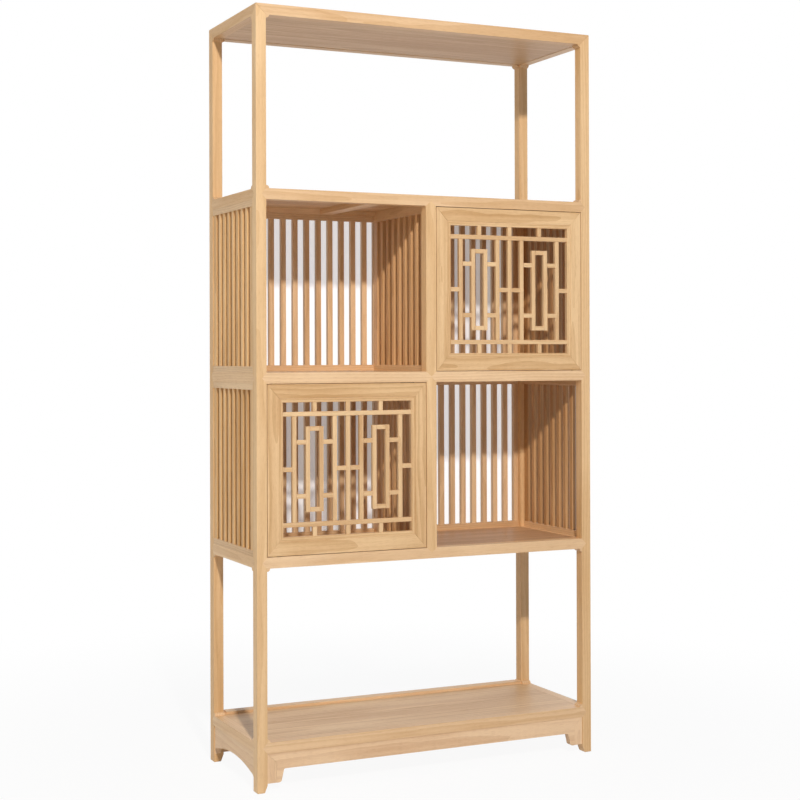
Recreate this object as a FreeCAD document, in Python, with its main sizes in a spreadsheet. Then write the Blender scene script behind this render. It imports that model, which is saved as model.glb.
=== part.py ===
# Chinese book cabinet: an open-shelved display cabinet in light solid wood, in millimetres.
# The origin is on the floor under the middle of the cabinet, +Z is up and the front faces -Y.
import FreeCAD, Part
import math
import os
import Sketcher

doc = FreeCAD.newDocument("BookCabinet")
sheet = doc.addObject("Spreadsheet::Sheet", "Dimensions")
pieces = []


class Size:
    """A length that knows its value and the sheet formula that it follows from."""

    def __init__(self, value, text):
        self.value = float(value)
        self.text = text

    def __add__(self, other):
        other = as_size(other)
        return Size(self.value + other.value, f"({self.text} + {other.text})")

    def __radd__(self, other):
        return as_size(other) + self

    def __sub__(self, other):
        other = as_size(other)
        return Size(self.value - other.value, f"({self.text} - {other.text})")

    def __rsub__(self, other):
        return as_size(other) - self

    def __mul__(self, other):
        other = as_size(other)
        return Size(self.value * other.value, f"({self.text} * {other.text})")

    def __rmul__(self, other):
        return self * other

    def __truediv__(self, other):
        other = as_size(other)
        return Size(self.value / other.value, f"({self.text} / {other.text})")

    def __neg__(self):
        return self * -1


def as_size(number):
    return number if isinstance(number, Size) else Size(number, f"({number})")


# The driving dimensions, in millimetres except for the counts of sticks.
DIMENSIONS = {
    # Carcass
    "width": 1000,
    "depth": 350,
    "height": 2000,
    "shelf_height": 127,
    "post": 28,
    "rail_height": 28,
    "centre_post": 30,
    "cove": 8,
    "foot_rounding": 3,
    "foot_taper": 8,
    "foot_taper_height": 20,
    "shelf_lip": 7,
    # Joints of the carcass
    "shoulder_depth": 9,
    "shoulder_point": 13,
    "tenon_setback": 10,
    "tenon_thickness": 8,
    "tenon_height": 10,
    "tenon_length": 18,
    "tenon_stagger": 0.6,
    "tenon_fit": 0.1,
    "corner_tenon": 8,
    "corner_tenon_near": 8,
    "corner_tenon_far": 18,
    "long_tenon_cover": 6,
    "short_tenon_cover": 12,
    "centre_tenon_width": 10,
    "centre_tenon_length": 10,
    # Boards that float in the grooves of the rails
    "board": 14,
    "top_board": 27,
    "tongue": 8,
    "tongue_length": 9,
    "groove_depth": 10,
    "groove_fit": 0.1,
    "board_gap": 0.3,
    "batten_width": 40,
    "batten_tenon": 8,
    "batten_tenon_length": 10,
    "batten_tenon_rise": 3,
    "dovetail_root": 14,
    "dovetail_head": 18,
    "dovetail_height": 4,
    # Aprons and their brackets
    "apron_thickness": 18,
    "apron_setback": 2,
    "apron_height": 42,
    "bracket_height": 76,
    "bracket_width": 25,
    "bracket_reach": 45,
    "bracket_slant": 5,
    "bracket_curve": 8,
    "apron_fillet": 5,
    "side_apron_middle": 39,
    "side_apron_corner": 20,
    # Grilles of upright sticks
    "grille_rail": 16,
    "grille_depth": 16,
    "grille_setback": 0.4,
    "stick_width": 15,
    "stick_depth": 13,
    "stick_housing": 5,
    "stick_fit": 0.1,
    "side_end_stick": 22,
    "back_stick_count": 25,
    "side_stick_count": 7,
    # Doors
    "door_gap": 1.5,
    "door_setback": 0.5,
    "door_thickness": 20,
    "door_stile": 32.5,
    "door_rail": 36,
    "door_tenon": 6,
    "door_tenon_cover": 10,
    "border": 11,
    "border_depth": 12,
    "border_setback": 1,
    "joint_fit": 0.1,
    "lattice_bar": 12,
    "bar_depth": 10,
    "bar_setback": 2,
    "row_gap": 24,
    # Pivots and catches
    "pivot_inset": 20,
    "pivot_setback": 7,
    "pin_radius": 2.5,
    "pin_fit": 0.05,
    "pin_embedded": 14,
    "bush_width": 10,
    "bush_length": 9,
    "bush_rise": 1.2,
    "pin_end_gap": 0.5,
    "catch_width": 32,
    "catch_inset": 24,
    "catch_drop": 24,
    "catch_overhang": 12,
    "strike_thickness": 1.5,
    "strike_height": 18,
    "strike_drop": 1.6,
    "catch_gap": 0.3,
}

class Sizes:
    """The driving dimensions, each written into its own row of the sheet under its own alias."""

    def __init__(self, dimensions):
        for row, (name, value) in enumerate(dimensions.items(), 1):
            sheet.set(f"A{row}", name.replace("_", " "))
            sheet.set(f"B{row}", str(value))
            sheet.setAlias(f"B{row}", name)
            setattr(self, name, Size(value, f"Dimensions.{name}"))


size = Sizes(DIMENSIONS)

# Places that the whole cabinet shares
half_width = size.width / 2
half_depth = size.depth / 2
inner_width = half_width - size.post
inner_depth = half_depth - size.post
half_centre = size.centre_post / 2
LEVELS = ["bottom_shelf", "cabinet_floor", "middle_shelf", "cabinet_top", "top"]
TOP = len(LEVELS) - 1
FLOOR = LEVELS.index("cabinet_floor")
MIDDLE = LEVELS.index("middle_shelf")
CEILING = LEVELS.index("cabinet_top")
tier = (size.height - size.shelf_height) / TOP
connector_share = 2 / 3
batten_share = 0.38


def level_top(level):
    """Top of the frame at one of the five levels, counted from the bottom shelf."""
    return size.shelf_height + tier * level


def level_bottom(level):
    return level_top(level) - (size.post if level == TOP else size.rail_height)


def rectangle(u0, v0, u1, v1):
    return [(u0, v0), (u1, v0), (u1, v1), (u0, v1)]


def circle(u, v, radius):
    return ("circle", u, v, radius)


def mirrored(loop):
    """The same outline on the other side of the vertical axis."""
    turned = []
    count = len(loop)
    for index in range(count):
        point = loop[-index % count]
        bend = loop[(-index - 1) % count][2:]
        turned.append((-point[0], point[1]) + tuple(bend))
    return turned


def arc_of(start, end, radius, turn):
    """Arc from start to end that turns left for turn 1 and right for turn -1."""
    chord = end - start
    middle = (start + end) / 2
    reach = math.sqrt(max(radius * radius - chord.Length ** 2 / 4, 0))
    normal = FreeCAD.Vector(-chord.y, chord.x, 0).normalize()
    centre = middle + normal * (reach * turn)
    ends = [math.atan2(point.y - centre.y, point.x - centre.x) for point in (start, end)]
    if turn < 0:
        ends.reverse()
    round_edge = Part.Circle(centre, FreeCAD.Vector(0, 0, 1), radius)
    return Part.ArcOfCircle(round_edge, ends[0], ends[1])


def draw_loop(sketch, loop):
    """Draws one closed outline and ties every corner and radius to its formula."""
    first = sketch.GeometryCount
    count = len(loop)
    corners = [FreeCAD.Vector(point[0].value, point[1].value, 0) for point in loop]
    geometry = []
    starts = []
    for index, point in enumerate(loop):
        start = corners[index]
        end = corners[(index + 1) % count]
        if len(point) == 2:
            geometry.append(Part.LineSegment(start, end))
            starts.append(1)
        else:
            geometry.append(arc_of(start, end, point[2].value, point[3]))
            starts.append(1 if point[3] > 0 else 2)
    sketch.addGeometry(geometry, False)
    constraints = []
    formulas = []
    for index, point in enumerate(loop):
        after = (index + 1) % count
        pair = (first + index, 3 - starts[index], first + after, starts[after])
        constraints.append(Sketcher.Constraint("Coincident", *pair))
        formulas.append(None)
    for index, point in enumerate(loop):
        corner = (-1, 1, first + index, starts[index])
        constraints.append(Sketcher.Constraint("DistanceX", *corner, point[0].value))
        formulas.append(point[0].text)
        constraints.append(Sketcher.Constraint("DistanceY", *corner, point[1].value))
        formulas.append(point[1].text)
        if len(point) > 2:
            constraints.append(Sketcher.Constraint("Radius", first + index, point[2].value))
            formulas.append(point[2].text)
    tie(sketch, constraints, formulas)


def draw_circle(sketch, loop):
    first = sketch.GeometryCount
    centre = FreeCAD.Vector(loop[1].value, loop[2].value, 0)
    sketch.addGeometry(Part.Circle(centre, FreeCAD.Vector(0, 0, 1), loop[3].value), False)
    corner = (-1, 1, first, 3)
    constraints = [
        Sketcher.Constraint("DistanceX", *corner, loop[1].value),
        Sketcher.Constraint("DistanceY", *corner, loop[2].value),
        Sketcher.Constraint("Radius", first, loop[3].value),
    ]
    tie(sketch, constraints, [length.text for length in loop[1:]])


def tie(sketch, constraints, formulas):
    base = sketch.ConstraintCount
    sketch.addConstraint(constraints)
    for offset, formula in enumerate(formulas):
        if formula:
            sketch.setExpression(f"Constraints[{base + offset}]", formula)


class Piece:
    """One piece of the cabinet: a body built up from sketched profiles on its own planes."""

    FACING = {"XY": 1, "XZ": -1, "YZ": 1}

    def __init__(self, name):
        self.body = doc.addObject("PartDesign::Body", name)
        self.body.Label = name
        self.body.AllowCompound = True
        self.origin = {feature.Role: feature for feature in self.body.Origin.OriginFeatures}
        pieces.append(self.body)

    def outline(self, plane, at, loops):
        sketch = self.body.newObject("Sketcher::SketchObject", "Outline")
        sketch.AttachmentSupport = [(self.origin[plane + "_Plane"], "")]
        sketch.MapMode = "FlatFace"
        sketch.setExpression("AttachmentOffset.Base.z", (at * self.FACING[plane]).text)
        for loop in loops:
            if loop[0] == "circle":
                draw_circle(sketch, loop)
            else:
                draw_loop(sketch, loop)
        return sketch

    def feature(self, kind, plane, at, length, loops, backwards):
        made = self.body.newObject("PartDesign::" + kind, kind)
        made.Profile = self.outline(plane, at, loops)
        made.setExpression("Length", length.text)
        made.Reversed = backwards
        self.body.Tip = made
        return made

    def add(self, plane, at, length, *loops):
        """Adds the outlines as solid, from at towards the positive end of the third axis."""
        return self.feature("Pad", plane, at, length, loops, self.FACING[plane] < 0)

    def cut(self, plane, at, length, *loops):
        """Takes the outlines away, from at towards the positive end of the third axis."""
        return self.feature("Pocket", plane, at, length, loops, self.FACING[plane] > 0)

    def repeat(self, feature, axis, pitch, count):
        """Repeats a feature along an axis of the body."""
        row = self.body.newObject("PartDesign::LinearPattern", "Row")
        row.Originals = [feature]
        row.Direction = (self.origin[axis + "_Axis"], [""])
        row.setExpression("Length", (pitch * (count - 1)).text)
        row.setExpression("Occurrences", count.text)
        self.body.Tip = row
        return row


def layer(outer, inward, start, thickness):
    """Low end of a layer that begins a given distance inward from an outer face."""
    return outer + start if inward > 0 else outer - start - thickness


# The four posts run from the floor to the top. Each top is cut away to the meeting planes of
# a three-way mitre and carries a long and a short tenon for the two top rails.
def x_rail_tenon(level):
    low = (level_top(level) + level_bottom(level)) / 2 + size.tenon_stagger
    return low, low + size.tenon_height


def y_rail_tenon(level):
    high = (level_top(level) + level_bottom(level)) / 2 - size.tenon_stagger
    return high - size.tenon_height, high


def pointed_recess(edge, towards, level):
    """Triangle that a pointed shoulder fills on the face of a post."""
    top = level_top(level)
    bottom = level_bottom(level)
    return [(edge, bottom), (edge, top), (edge + size.shoulder_point * towards, (top + bottom) / 2)]


def corner_post(name, side, front):
    piece = Piece(name)
    outer_x = half_width * side
    inner_x = inner_width * side
    outer_y = half_depth * front
    inner_y = inner_depth * front
    low_x = layer(outer_x, -side, 0, size.post)
    low_y = layer(outer_y, -front, 0, size.post)
    square = rectangle(low_x, low_y, low_x + size.post, low_y + size.post)
    piece.add("XY", as_size(0), size.height, square)
    top = size.height
    under = top - size.post
    piece.cut("XZ", low_y, size.post, [(outer_x, top), (inner_x, top), (inner_x, under)])
    piece.cut("YZ", low_x, size.post, [(outer_y, top), (inner_y, top), (inner_y, under)])

    near_x = layer(outer_x, -side, size.corner_tenon_near, size.corner_tenon)
    far_x = layer(outer_x, -side, size.corner_tenon_far, size.corner_tenon)
    near_y = layer(outer_y, -front, size.corner_tenon_near, size.corner_tenon)
    far_y = layer(outer_y, -front, size.corner_tenon_far, size.corner_tenon)
    long_tenon = rectangle(far_x, near_y, far_x + size.corner_tenon, near_y + size.corner_tenon)
    short_tenon = rectangle(near_x, far_y, near_x + size.corner_tenon, far_y + size.corner_tenon)
    piece.add("XY", under, size.post - size.long_tenon_cover, long_tenon)
    piece.add("XY", under, size.post - size.short_tenon_cover, short_tenon)

    fit = size.tenon_fit
    slot = size.tenon_thickness + fit * 2
    x_slots = []
    y_slots = []
    x_points = []
    y_points = []
    for level in range(TOP):
        low, high = x_rail_tenon(level)
        end_x = (inner_width + size.tenon_length + fit) * side
        x_slots.append(rectangle(inner_x, low - fit, end_x, high + fit))
        low, high = y_rail_tenon(level)
        end_y = (inner_depth + size.tenon_length + fit) * front
        y_slots.append(rectangle(inner_y, low - fit, end_y, high + fit))
        x_points.append(pointed_recess(inner_x, side, level))
        y_points.append(pointed_recess(inner_y, front, level))
    piece.cut("XZ", layer(outer_y, -front, size.tenon_setback - fit, slot), slot, *x_slots)
    piece.cut("YZ", layer(outer_x, -side, size.tenon_setback - fit, slot), slot, *y_slots)
    if front < 0:
        piece.cut("XZ", outer_y, size.shoulder_depth, *x_points)
    piece.cut("YZ", layer(outer_x, -side, 0, size.shoulder_depth), size.shoulder_depth, *y_points)
    floor = as_size(0)
    foot_x = inner_x + size.foot_taper * side
    piece.cut("XZ", low_y, size.post, [(inner_x, size.foot_taper_height), (inner_x, floor), (foot_x, floor)])
    round_foot(piece)


def round_foot(piece):
    """Rounds the four lower edges of a post where it stands on the floor."""
    doc.recompute()
    solid = piece.body.Tip
    edges = []
    for number, edge in enumerate(solid.Shape.Edges, 1):
        if edge.BoundBox.ZMax < size.foot_rounding.value / 100:
            edges.append(f"Edge{number}")
    foot = piece.body.newObject("PartDesign::Fillet", "Foot")
    foot.Base = (solid, edges)
    foot.setExpression("Radius", size.foot_rounding.text)
    piece.body.Tip = foot


for side_name, side in (("left", -1), ("right", 1)):
    corner_post(f"front_{side_name}_post", side, -1)
    corner_post(f"rear_{side_name}_post", side, 1)


# Rails between the posts. Front and side rails have pointed shoulders let into the post faces
# and a tenon behind them. The rails of the open tiers end in small coves against the posts.
def cove_loops(half, edge, upward):
    """Two hollow-curved corners where a rail meets the posts."""
    tip = edge + size.cove * upward
    left = [(-half, edge), (size.cove - half, edge, size.cove, upward), (-half, tip)]
    return [left, mirrored(left)]


def add_coves(piece, plane, half, low, level):
    if LEVELS[level] in ("bottom_shelf", "cabinet_top"):
        piece.add(plane, low, size.post, *cove_loops(half, level_top(level), 1))
    if LEVELS[level] in ("cabinet_floor", "top"):
        piece.add(plane, low, size.post, *cove_loops(half, level_bottom(level), -1))


def cut_board_groove(piece, plane, half, outer, inward, level):
    base = level_top(level) - size.board - size.groove_fit
    slot = size.tongue + size.groove_fit * 2
    start = layer(outer, inward, size.post - size.groove_depth, size.groove_depth)
    piece.cut(plane, start, size.groove_depth, rectangle(-half, base, half, base + slot))


def batten_places():
    """Left edges of the two battens under a board."""
    first = -inner_width * batten_share
    return first, -first - size.batten_width


def cut_batten_mortises(piece, outer, inward, level):
    """Mortises in a front or rear rail for the tenons of the battens."""
    fit = size.tenon_fit
    low = level_bottom(level) + size.batten_tenon_rise - fit
    slots = []
    for left in batten_places():
        right = left + size.batten_width
        slots.append(rectangle(left - fit, low, right + fit, low + size.batten_tenon + fit * 2))
    depth = size.batten_tenon_length + fit
    piece.cut("XZ", layer(outer, inward, size.post - depth, depth), depth, *slots)


def tenoned_rail(name, plane, half, outer, inward, level, pointed):
    """Rail of one of the four lower levels, along X on plane XZ or along Y on plane YZ."""
    piece = Piece(name)
    top = level_top(level)
    bottom = level_bottom(level)
    middle = (top + bottom) / 2
    if pointed:
        low = layer(outer, inward, 0, size.shoulder_depth)
        tip = half + size.shoulder_point
        face = [(-half, bottom), (half, bottom), (tip, middle)]
        face += [(half, top), (-half, top), (-tip, middle)]
        piece.add(plane, low, size.shoulder_depth, face)
        rest = size.post - size.shoulder_depth
        low = layer(outer, inward, size.shoulder_depth, rest)
        piece.add(plane, low, rest, rectangle(-half, bottom, half, top))
    else:
        low = layer(outer, inward, 0, size.post)
        piece.add(plane, low, size.post, rectangle(-half, bottom, half, top))
    low, high = x_rail_tenon(level) if plane == "XZ" else y_rail_tenon(level)
    reach = half + size.tenon_length
    low_face = layer(outer, inward, size.tenon_setback, size.tenon_thickness)
    piece.add(plane, low_face, size.tenon_thickness, rectangle(-reach, low, reach, high))
    add_coves(piece, plane, half, layer(outer, inward, 0, size.post), level)
    cut_board_groove(piece, plane, half, outer, inward, level)
    if plane == "XZ":
        cut_batten_mortises(piece, outer, inward, level)
    return piece


def mitred_rail(name, plane, half, outer, inward):
    """Rail of the top frame, mitred to the posts and to the two rails beside it."""
    piece = Piece(name)
    low = layer(outer, inward, 0, size.post)
    under = size.height - size.post
    inner = half - size.post
    side_view = [(-inner, under), (inner, under), (half, size.height), (-half, size.height)]
    piece.add(plane, low, size.post, side_view)
    along_x = plane == "XZ"
    waste = [(half, outer), (half, outer + size.post * inward), (inner, outer + size.post * inward)]
    if not along_x:
        waste = [(v, u) for u, v in waste]
    other = [(-u, v) for u, v in waste] if along_x else [(u, -v) for u, v in waste]
    piece.cut("XY", under, size.post, waste, other)

    fit = size.tenon_fit
    cover = size.long_tenon_cover if along_x else size.short_tenon_cover
    near = layer(outer, inward, size.corner_tenon_near - fit, size.corner_tenon + fit * 2)
    slot = size.corner_tenon + fit * 2
    far = half - size.corner_tenon_far - size.corner_tenon - fit
    slots = []
    for low_end in (far, -far - slot):
        if along_x:
            slots.append(rectangle(low_end, near, low_end + slot, near + slot))
        else:
            slots.append(rectangle(near, low_end, near + slot, low_end + slot))
    piece.cut("XY", under, size.post - cover + fit, *slots)
    add_coves(piece, plane, inner, low, TOP)
    cut_board_groove(piece, plane, inner, outer, inward, TOP)
    return piece


front_rails = []
for level in range(TOP):
    name = LEVELS[level]
    rail = tenoned_rail(f"{name}_front_rail", "XZ", inner_width, -half_depth, 1, level, True)
    front_rails.append(rail)
    rear = tenoned_rail(f"{name}_rear_rail", "XZ", inner_width, half_depth, -1, level, False)
    if level == 0:
        top = level_top(0)
        lip_low = inner_width - size.cove
        lip = rectangle(-lip_low, top, lip_low, top + size.shelf_lip)
        rear.add("XZ", inner_depth, size.post, lip)
    tenoned_rail(f"{name}_left_rail", "YZ", inner_depth, -half_width, 1, level, True)
    tenoned_rail(f"{name}_right_rail", "YZ", inner_depth, half_width, -1, level, True)
mitred_rail("top_front_rail", "XZ", half_width, -half_depth, 1)
mitred_rail("top_rear_rail", "XZ", half_width, half_depth, -1)
mitred_rail("top_left_rail", "YZ", half_depth, -half_width, 1)
mitred_rail("top_right_rail", "YZ", half_depth, half_width, -1)


# Solid boards that float in the grooves, flush with the tops of their rails. Under each of the
# four lower ones two battens run from the front rail to the rear rail, held to the board by a
# sliding dovetail and tenoned into the rails.
battens = Piece("shelf_battens")


def dovetail(centre, base, fit):
    root = size.dovetail_root / 2 + fit
    head = size.dovetail_head / 2 + fit
    top = base + size.dovetail_height + fit
    return [(centre - root, base), (centre + root, base), (centre + head, top), (centre - head, top)]


for level, name in enumerate(LEVELS):
    piece = Piece(f"{name}_board")
    u = inner_width - size.board_gap
    v = inner_depth - size.board_gap
    base = level_top(level) - size.board
    piece.add("XY", base, size.board, rectangle(-u, -v, u, v))
    if level == TOP:
        under = size.top_board - size.board
        piece.add("XY", base - under, under, rectangle(-u, -v, u, v))
    wide_u = u + size.tongue_length
    wide_v = v + size.tongue_length
    piece.add("XY", base, size.tongue, rectangle(-wide_u, -v, wide_u, v))
    piece.add("XY", base, size.tongue, rectangle(-u, -wide_v, u, wide_v))
    if level == TOP:
        continue
    low = level_bottom(level)
    tenon_low = low + size.batten_tenon_rise
    for left in batten_places():
        right = left + size.batten_width
        centre = (left + right) / 2
        keyway = dovetail(centre, base, size.joint_fit)
        piece.cut("XZ", -wide_v, wide_v * 2, keyway)
        battens.add("XZ", -inner_depth, inner_depth * 2, rectangle(left, low, right, base))
        battens.add("XZ", -inner_depth, inner_depth * 2, dovetail(centre, base, 0))
        reach = inner_depth + size.batten_tenon_length
        tenon = rectangle(left, tenon_low, right, tenon_low + size.batten_tenon)
        battens.add("XZ", -reach, reach * 2, tenon)


# The centre posts stand between the front rails of the cabinet, one above the other, with
# pointed ends let into the rail faces and short tenons behind them.
def centre_point(edge, upward):
    tip = edge + size.shoulder_point * upward
    return [(-half_centre, edge), (half_centre, edge), (as_size(0), tip)]


def centre_tenon(edge, upward, fit):
    side = size.centre_tenon_width / 2 + fit
    return rectangle(-side, edge, side, edge + (size.centre_tenon_length + fit) * upward)


for name, level in (("lower_centre_post", FLOOR), ("upper_centre_post", MIDDLE)):
    piece = Piece(name)
    bottom = level_top(level)
    top = level_bottom(level + 1)
    low_tip = (as_size(0), bottom - size.shoulder_point)
    high_tip = (as_size(0), top + size.shoulder_point)
    face = [(-half_centre, bottom), low_tip, (half_centre, bottom)]
    face += [(half_centre, top), high_tip, (-half_centre, top)]
    piece.add("XZ", -half_depth, size.shoulder_depth, face)
    back = rectangle(-half_centre, bottom, half_centre, top)
    piece.add("XZ", size.shoulder_depth - half_depth, size.post - size.shoulder_depth, back)
    tenons = [centre_tenon(bottom, -1, as_size(0)), centre_tenon(top, 1, as_size(0))]
    piece.add("XZ", size.tenon_setback - half_depth, size.tenon_thickness, *tenons)

for level in (FLOOR, MIDDLE, CEILING):
    points = []
    slots = []
    if level < CEILING:
        points.append(centre_point(level_top(level), -1))
        slots.append(centre_tenon(level_top(level), -1, size.tenon_fit))
    if level > FLOOR:
        points.append(centre_point(level_bottom(level), 1))
        slots.append(centre_tenon(level_bottom(level), 1, size.tenon_fit))
    front_rails[level].cut("XZ", -half_depth, size.shoulder_depth, *points)
    slot = size.tenon_thickness + size.tenon_fit * 2
    front_rails[level].cut("XZ", size.tenon_setback - size.tenon_fit - half_depth, slot, *slots)


# Aprons under the bottom shelf. Front and rear aprons meet upright brackets in a mitre beside
# each post and drop into a rounded foot, and the side aprons are low arches between the posts.
apron_top = level_bottom(0)
apron_bottom = apron_top - size.apron_height
bracket_bottom = apron_top - size.bracket_height
mitre_low = apron_top - size.bracket_width
bracket_inner = inner_width - size.bracket_width
foot_inner = inner_width - size.bracket_reach
foot_slant = foot_inner + size.bracket_slant


long_aprons = Piece("long_aprons")


def add_long_apron(outer, inward):
    curve_top = bracket_bottom + size.bracket_curve
    fillet_low = apron_bottom - size.apron_fillet
    right = [
        (foot_inner - size.apron_fillet, apron_bottom, size.apron_fillet, -1),
        (foot_inner, fillet_low),
        (foot_slant, curve_top, size.bracket_curve, 1),
        (foot_slant + size.bracket_curve, bracket_bottom),
        (bracket_inner - size.joint_fit, bracket_bottom),
        (bracket_inner - size.joint_fit, mitre_low),
        (inner_width - size.joint_fit, apron_top),
    ]
    left = [
        (size.joint_fit - inner_width, apron_top),
        (size.joint_fit - bracket_inner, mitre_low),
        (size.joint_fit - bracket_inner, bracket_bottom),
        (-foot_slant - size.bracket_curve, bracket_bottom, size.bracket_curve, 1),
        (-foot_slant, curve_top),
        (-foot_inner, fillet_low, size.apron_fillet, -1),
        (size.apron_fillet - foot_inner, apron_bottom),
    ]
    low = layer(outer, inward, size.apron_setback, size.apron_thickness)
    long_aprons.add("XZ", low, size.apron_thickness, right + left)


add_long_apron(-half_depth, 1)
add_long_apron(half_depth, -1)

brackets = Piece("apron_brackets")
right_bracket = [
    (bracket_inner, bracket_bottom),
    (inner_width, bracket_bottom),
    (inner_width, apron_top - size.joint_fit),
    (bracket_inner, mitre_low - size.joint_fit),
]
for outer, inward in ((-half_depth, 1), (half_depth, -1)):
    low = layer(outer, inward, size.apron_setback, size.apron_thickness)
    brackets.add("XZ", low, size.apron_thickness, right_bracket, mirrored(right_bracket))

side_aprons = Piece("side_aprons")
corner = size.side_apron_corner
arch_half = inner_depth - corner
arch_low = bracket_bottom + corner
arch_rise = apron_top - size.side_apron_middle - arch_low
arch_radius = (arch_half * arch_half + arch_rise * arch_rise) / (arch_rise * 2)
side_outline = [
    (-inner_depth, apron_top),
    (-inner_depth, bracket_bottom, corner, -1),
    (-arch_half, arch_low, arch_radius, -1),
    (arch_half, arch_low, corner, -1),
    (inner_depth, bracket_bottom),
    (inner_depth, apron_top),
]
for outer, inward in ((-half_width, 1), (half_width, -1)):
    low = layer(outer, inward, size.apron_setback, size.apron_thickness)
    side_aprons.add("YZ", low, size.apron_thickness, side_outline)


# Grilles: upright sticks housed in a thin rail above and below. The back is one run from post
# to post, and the sides and the divider between the cells have wider sticks at their ends.
def row_edges(level):
    """Bottom and top of the open part of a grille, between its two rails."""
    return level_top(level) + size.grille_rail, level_bottom(level + 1) - size.grille_rail


def stick_row(sticks, rails, plane, low, start, stick, pitch, count):
    """Adds one patterned row of sticks on both floors and cuts their housings."""
    loops = []
    housings = []
    for level in (FLOOR, MIDDLE):
        bottom, top = row_edges(level)
        housed = size.stick_housing
        loops.append(rectangle(start, bottom - housed, start + stick, top + housed))
        u0 = start - size.stick_fit
        u1 = start + stick + size.stick_fit
        housings.append(rectangle(u0, bottom - housed - size.stick_fit, u1, bottom))
        housings.append(rectangle(u0, top, u1, top + housed + size.stick_fit))
    added = sticks.add(plane, low, size.stick_depth, *loops)
    taken = rails.cut(plane, low - size.stick_fit, size.stick_depth + size.stick_fit * 2, *housings)
    sticks.repeat(added, plane[0], pitch, count)
    rails.repeat(taken, plane[0], pitch, count)


def grille_rails(rails, plane, low, start, end):
    loops = []
    for level in (FLOOR, MIDDLE):
        bottom, top = row_edges(level)
        loops.append(rectangle(start, bottom - size.grille_rail, end, bottom))
        loops.append(rectangle(start, top, end, top + size.grille_rail))
    rails.add(plane, low, size.grille_depth, *loops)


def ended_grille(sticks, rails, low, start, end):
    """Side or divider grille along Y: end sticks at both ends and evenly spaced ones between."""
    stick_low = low + (size.grille_depth - size.stick_depth) / 2
    clear = end - start - size.side_end_stick * 2 - size.stick_width * size.side_stick_count
    gap = clear / (size.side_stick_count + 1)
    grille_rails(rails, "YZ", low, start, end)
    two = as_size(2)
    end_pitch = end - start - size.side_end_stick
    stick_row(sticks, rails, "YZ", stick_low, start, size.side_end_stick, end_pitch, two)
    first = start + size.side_end_stick + gap
    pitch = gap + size.stick_width
    count = size.side_stick_count
    stick_row(sticks, rails, "YZ", stick_low, first, size.stick_width, pitch, count)


back_sticks = Piece("back_sticks")
back_rails = Piece("back_grille_rails")
back_low = half_depth - size.grille_setback - size.grille_depth
grille_rails(back_rails, "XZ", back_low, -inner_width, inner_width)
run_count = size.back_stick_count + 2
run_pitch = (inner_width * 2 - size.stick_width) / (run_count - 1)
back_stick_low = back_low + (size.grille_depth - size.stick_depth) / 2
run = (-inner_width, size.stick_width, run_pitch, run_count)
stick_row(back_sticks, back_rails, "XZ", back_stick_low, *run)

side_rails = Piece("side_grille_rails")
left_low = size.grille_setback - half_width
right_low = half_width - size.grille_setback - size.grille_depth
ended_grille(Piece("left_side_sticks"), side_rails, left_low, -inner_depth, inner_depth)
ended_grille(Piece("right_side_sticks"), side_rails, right_low, -inner_depth, inner_depth)

# The divider fills the height up to the underside of the board above it, between the rails.
divider_rails = Piece("divider_grille_rails")
ended_grille(Piece("divider_sticks"), divider_rails, -size.grille_depth / 2, -inner_depth, back_low)
packers = []
for level in (MIDDLE, CEILING):
    base = level_bottom(level)
    packers.append(rectangle(-inner_depth, base, inner_depth, base + size.rail_height - size.board))
divider_rails.add("YZ", -size.grille_depth / 2, size.grille_depth, *packers)


# The lattice doors: mitred and tenoned frames around a thin border and a lattice of straight
# bars. Each turns on two pins near its hinge edge, which sit in square bushes in the rails.
door_front = size.door_setback - half_depth
pin_y = door_front + size.pivot_setback
pin_reach = size.door_gap + size.bush_length - size.pin_end_gap


def bar_loop(u0, v0, u1, v1):
    return rectangle(u0 + size.joint_fit, v0 + size.joint_fit, u1 - size.joint_fit, v1 - size.joint_fit)


def door_frame(name, hinge, x0, x1, z0, z1):
    """Four frame members; the rails' tenons run into slots in the stiles behind the mitres."""
    members = {}
    inner_x0 = x0 + size.door_stile
    inner_x1 = x1 - size.door_stile
    inner_z0 = z0 + size.door_rail
    inner_z1 = z1 - size.door_rail
    left = [(x0, z0), (inner_x0, inner_z0), (inner_x0, inner_z1), (x0, z1)]
    right = [(x1, z0), (x1, z1), (inner_x1, inner_z1), (inner_x1, inner_z0)]
    top = [(x0, z1), (inner_x0, inner_z1), (inner_x1, inner_z1), (x1, z1)]
    bottom = [(x0, z0), (x1, z0), (inner_x1, inner_z0), (inner_x0, inner_z0)]
    names = ("latch_stile", "hinge_stile") if hinge > 0 else ("hinge_stile", "latch_stile")
    loops = {names[0]: left, names[1]: right, "top_rail": top, "bottom_rail": bottom}
    for member, loop in loops.items():
        piece = Piece(f"{name}_{member}")
        piece.add("XZ", door_front, size.door_thickness, loop)
        members[member] = piece
    low = door_front + (size.door_thickness - size.door_tenon) / 2
    cover = size.door_tenon_cover
    fit = size.tenon_fit
    ends = {
        names[0]: (x0 + cover, inner_x0, x0 + cover - fit, inner_x0),
        names[1]: (inner_x1, x1 - cover, inner_x1, x1 - cover + fit),
    }
    for member, v0, v1 in (("top_rail", inner_z1, z1 - cover), ("bottom_rail", z0 + cover, inner_z0)):
        loops = [rectangle(u0, v0, u1, v1) for u0, u1, _, _ in ends.values()]
        members[member].add("XZ", low, size.door_tenon, *loops)
    for stile, (_, _, u0, u1) in ends.items():
        slots = []
        for v0, v1 in ((inner_z1, z1 - cover + fit), (z0 + cover - fit, inner_z0)):
            slots.append(rectangle(u0, v0, u1, v1))
        members[stile].cut("XZ", low - fit, size.door_tenon + fit * 2, *slots)
    return members


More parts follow.
